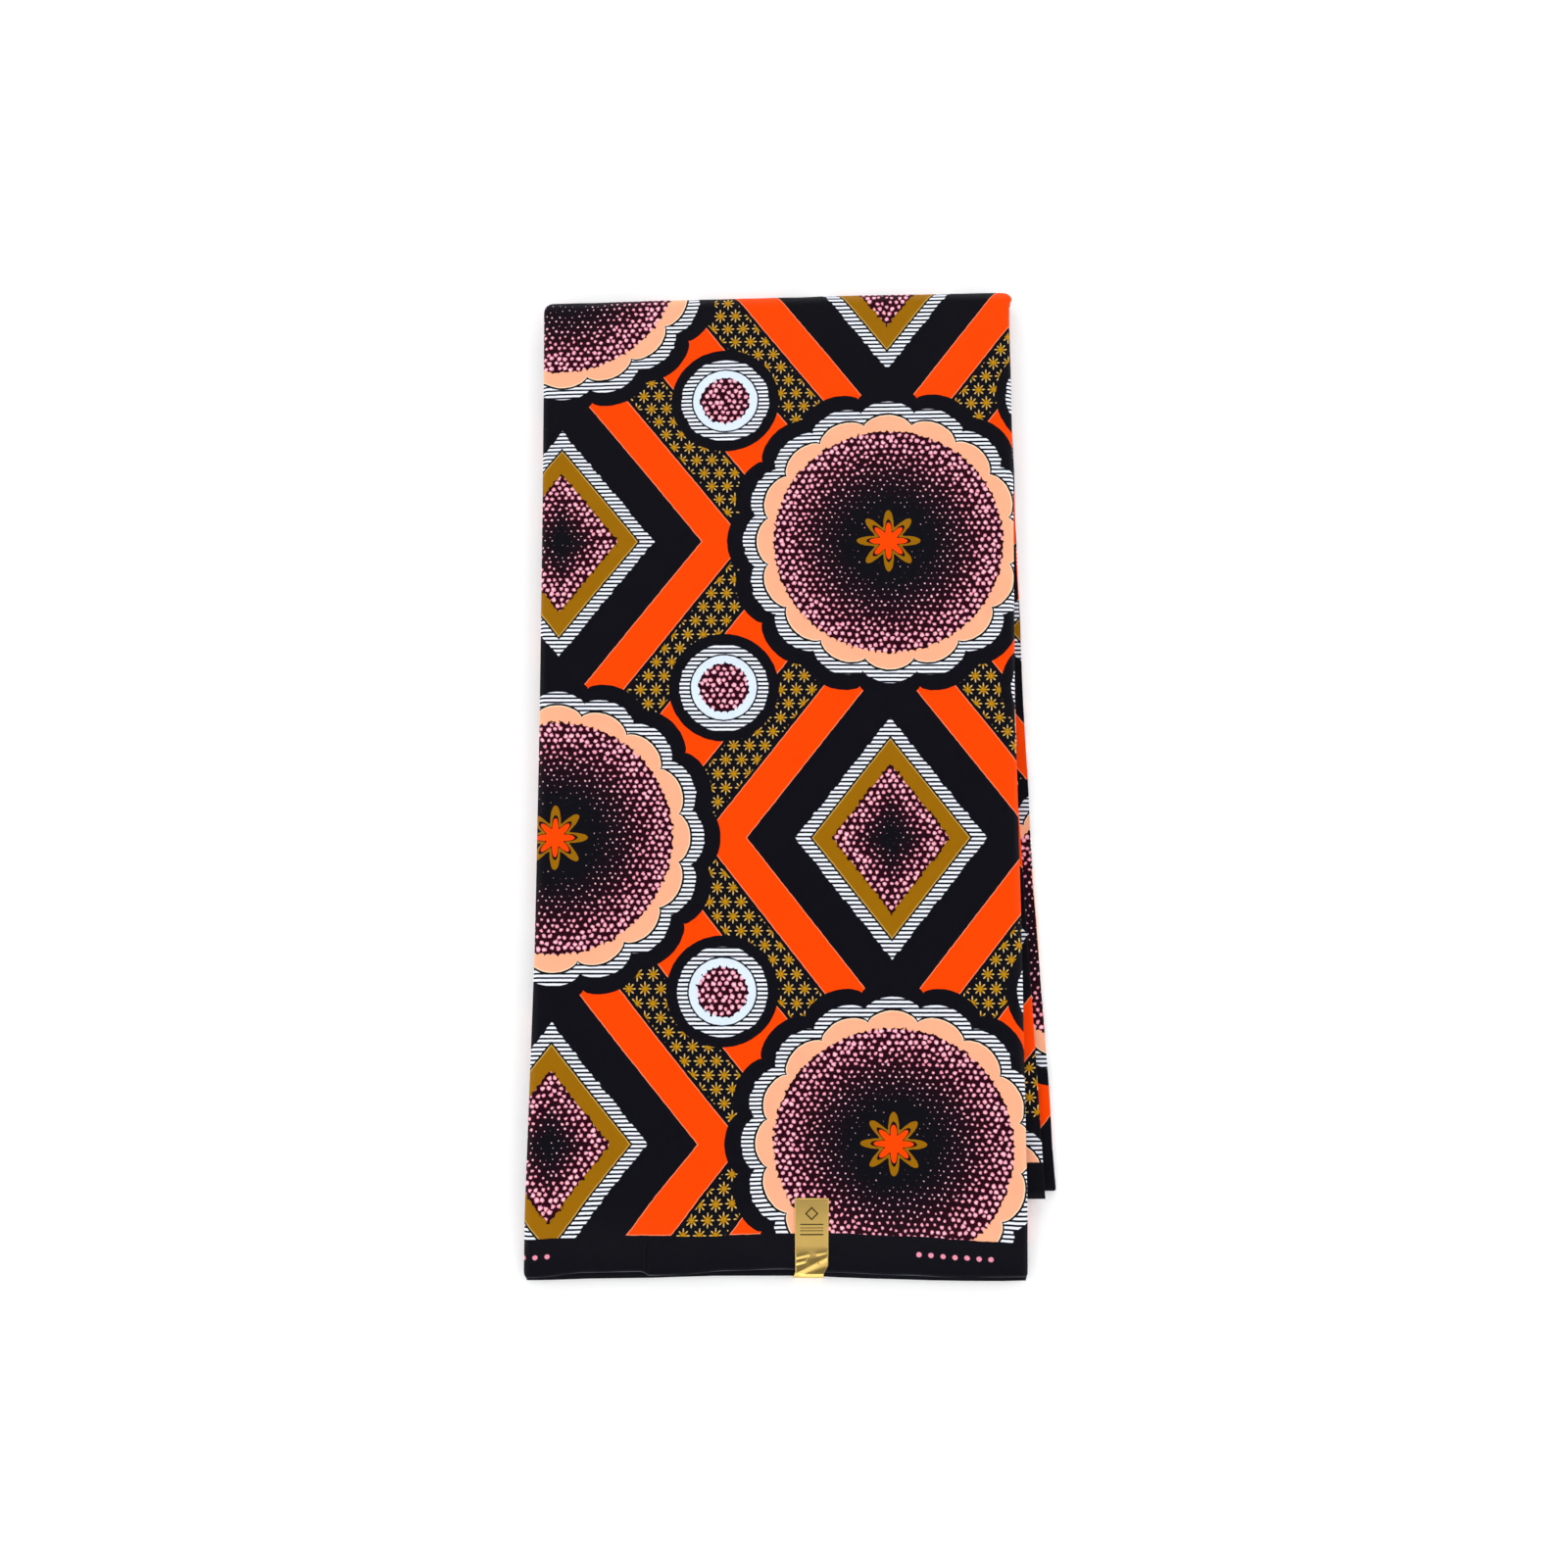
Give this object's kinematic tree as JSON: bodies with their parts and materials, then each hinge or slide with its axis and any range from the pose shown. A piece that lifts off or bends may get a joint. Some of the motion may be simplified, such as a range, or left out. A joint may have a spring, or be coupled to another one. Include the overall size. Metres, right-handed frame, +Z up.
{
  "type": "folded wax-print cotton cloth",
  "caption": "Length of printed cotton folded into a narrow flat stack and once over its top, black selvedges at the lower end, foil seal over one of them.",
  "frame": {"origin": "middle of the bounding box's footprint, on the surface that the stack lies on", "axes": "+X to the stack's right, +Y from the front selvedge up to the top fold, +Z up, off the surface"},
  "size_m": [0.303, 0.5896, 0.0147],
  "materials": {
    "printed_cotton_front": "black wax-finished cotton with orange, peach, ochre and white print, slightly glossy",
    "printed_cotton_second": "orange and black printed cotton, slightly glossy",
    "printed_cotton_back": "peach, orange and black printed cotton, slightly glossy",
    "printed_cotton_hidden": "folded edges of printed cotton",
    "gold_foil": "matt gold foil, creased"
  },
  "bodies": {
    "root": {"front_panel": "printed_cotton_front", "second_panel": "printed_cotton_second", "back_panel": "printed_cotton_back", "inner_plies": "printed_cotton_hidden", "foil_label": "gold_foil"}
  },
  "joints": []
}
